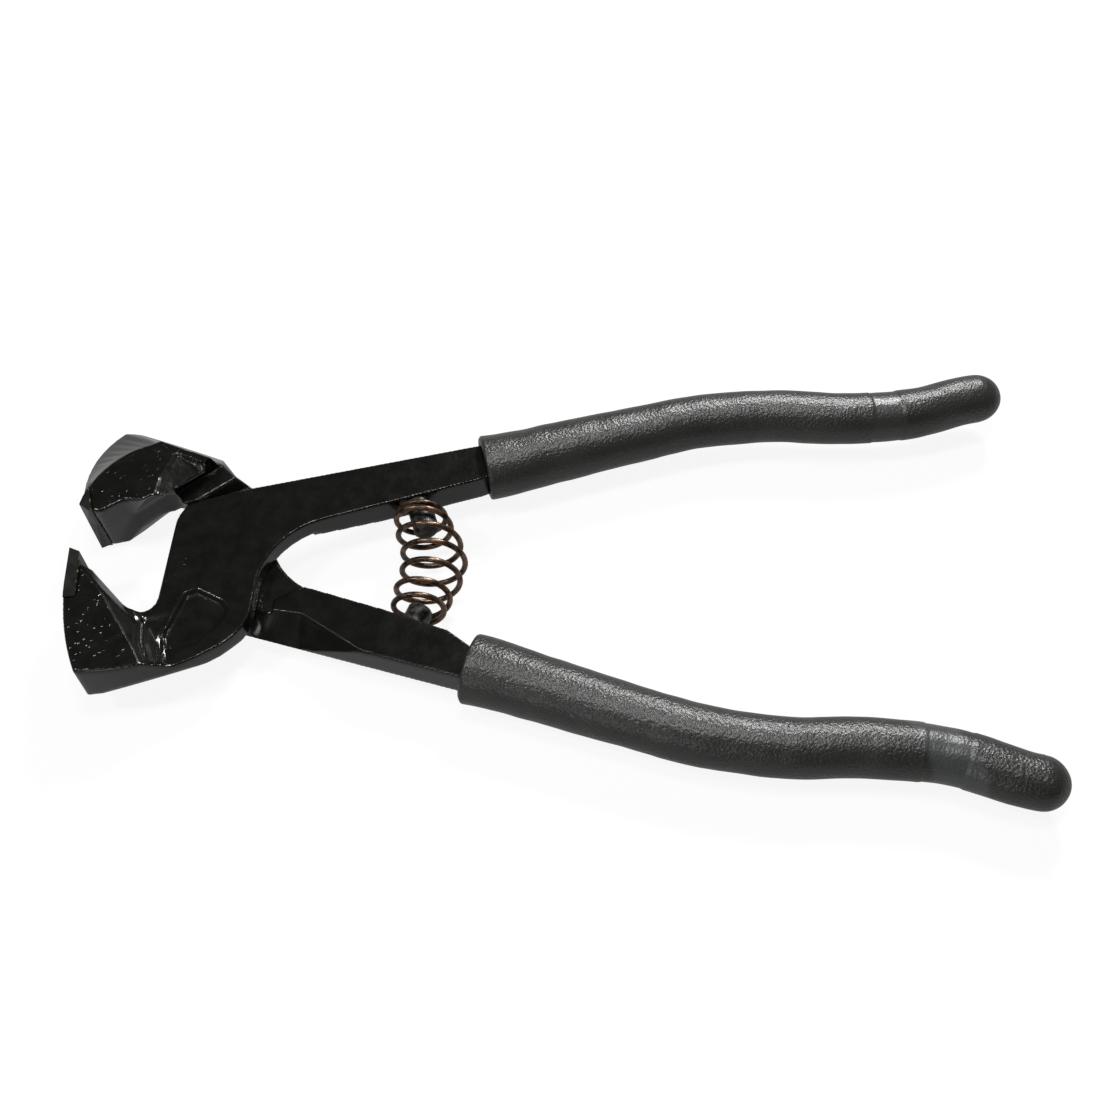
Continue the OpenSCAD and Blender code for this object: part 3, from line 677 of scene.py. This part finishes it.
# Rubbed steel: dull grey where the paint has gone, in patches about 1.5 mm across.
stud, tree, shader = finish_named("rubbed_steel_stud")
_, rub, tint = mottled(tree, 600.0, 4.0, 0.6, (0.42, "#141412"), (0.66, "#5A5853"))
tree.links.new(tint, shader.inputs["Base Color"])
bump = add(tree, "ShaderNodeBump", {"Height": rub.outputs["Fac"], "Strength": 0.4,
                                    "Distance": 0.00006})
tree.links.new(bump.outputs[0], shader.inputs["Normal"])
shader.inputs["Metallic"].default_value = 0.5
shader.inputs["Roughness"].default_value = 0.4
for node in ("upper_spring_peg", "lower_spring_peg"):
    wear(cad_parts[node], stud)


# The return spring
# One length of oil-tempered wire coiled over both studs, bowed out towards the handles; its
# coils swell at the middle, and the scale on it is worn copper-brown.
lean = math.radians(18.9)


def inner_edge(x):
    """Height of the upper shank's inner edge over x in millimetres, a straight line."""
    return (x + 0.9) * math.tan(lean)


# In millimetres: the wire, the radius of its turns over the pegs and half way, how far their
# line bows out, and the pitch of the closed turns at each end.
wire = 1.25
end_r = 4.8
mid_r = 6.6
bow = 3.0
close_step = 1.85
close_turns = 1.25
turns_made = 7
# The pegs stand on the shanks' inner edges at these x, and the cut ends stop short of the
# steel by the gap.
top_x = 42.2
foot_x = 43.6
end_gap = 0.05
top_out = np.array([math.sin(lean), -math.cos(lean), 0.0])
foot_out = np.array([math.sin(lean), math.cos(lean), 0.0])
top = np.array([top_x, inner_edge(top_x), 1.0])
foot = np.array([foot_x, -inner_edge(foot_x), -1.0])
side_way = np.array([-(foot - top)[1], (foot - top)[0], 0.0])
side_way /= np.linalg.norm(side_way)
top += (end_r * side_way @ top_out + wire + end_gap) * top_out
foot += (end_r * side_way @ foot_out + wire + end_gap) * foot_out
span = np.linalg.norm(foot - top)


def coil():
    """A round wire carried along a helix whose radius swells by half a sine and whose middle
    line bows by a squared sine, close at both ends, with a short straight tail to each shank."""
    w = np.linspace(0, turns_made, turns_made * 44 + 1)
    closed = close_turns * close_step
    rise = np.interp(w, [0, close_turns, turns_made - close_turns, turns_made],
                     [0, closed, span - closed, span])
    half = 7
    before = 2 * rise[0] - rise[half:0:-1]
    after = 2 * rise[-1] - rise[-2:-half - 2:-1]
    rise = np.convolve(np.concatenate([before, rise, after]),
                       np.ones(2 * half + 1) / (2 * half + 1), "valid")
    s = rise / span
    radius = end_r + (mid_r - end_r) * np.sin(np.pi * w / turns_made)
    turn = 2 * np.pi * w[:, None]
    out_way = -np.cos(turn) * side_way + np.sin(turn) * [0, 0, 1]
    bowed = bow * np.sin(np.pi * s[:, None]) ** 2 * side_way
    path = top + s[:, None] * (foot - top) + bowed + radius[:, None] * out_way
    tail_points = 5
    tail = np.linspace(1, 0.15, tail_points)[:, None] * wire
    path = np.concatenate([path[0] - tail * top_out, path, path[-1] - tail[::-1] * foot_out])
    hub = np.concatenate([np.repeat(out_way[:1], tail_points, 0), out_way,
                          np.repeat(out_way[-1:], tail_points, 0)])
    way = np.gradient(path, axis=0)
    way[0] = top_out
    way[-1] = -foot_out
    way /= np.linalg.norm(way, axis=1)[:, None]
    e = hub - (hub * way).sum(1)[:, None] * way
    e /= np.linalg.norm(e, axis=1)[:, None]
    f = np.cross(way, e)
    a = np.linspace(0, 2 * np.pi, 14, endpoint=False)
    ring = np.cos(a)[None, :, None] * e[:, None] + np.sin(a)[None, :, None] * f[:, None]
    return surface("return_coil", (path[:, None] + 0.5 * wire * ring) * MM, caps=True)


spring = coil()
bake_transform(spring)
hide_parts("return_spring")

# Oil-tempered wire: brown scale, worn to copper in patches of about 2 mm.
tempered, tree, shader = finish_named("oil_tempered_wire")
_, scale, tint = mottled(tree, 500.0, 4.0, 0.6, (0.35, "#2A201A"), (0.7, "#8A6F5C"))
tree.links.new(tint, shader.inputs["Base Color"])
bump = add(tree, "ShaderNodeBump", {"Height": scale.outputs["Fac"], "Strength": 0.25,
                                    "Distance": 0.00004})
tree.links.new(bump.outputs[0], shader.inputs["Normal"])
shader.inputs["Metallic"].default_value = 0.85
shader.inputs["Roughness"].default_value = 0.33
wear(spring, tempered)
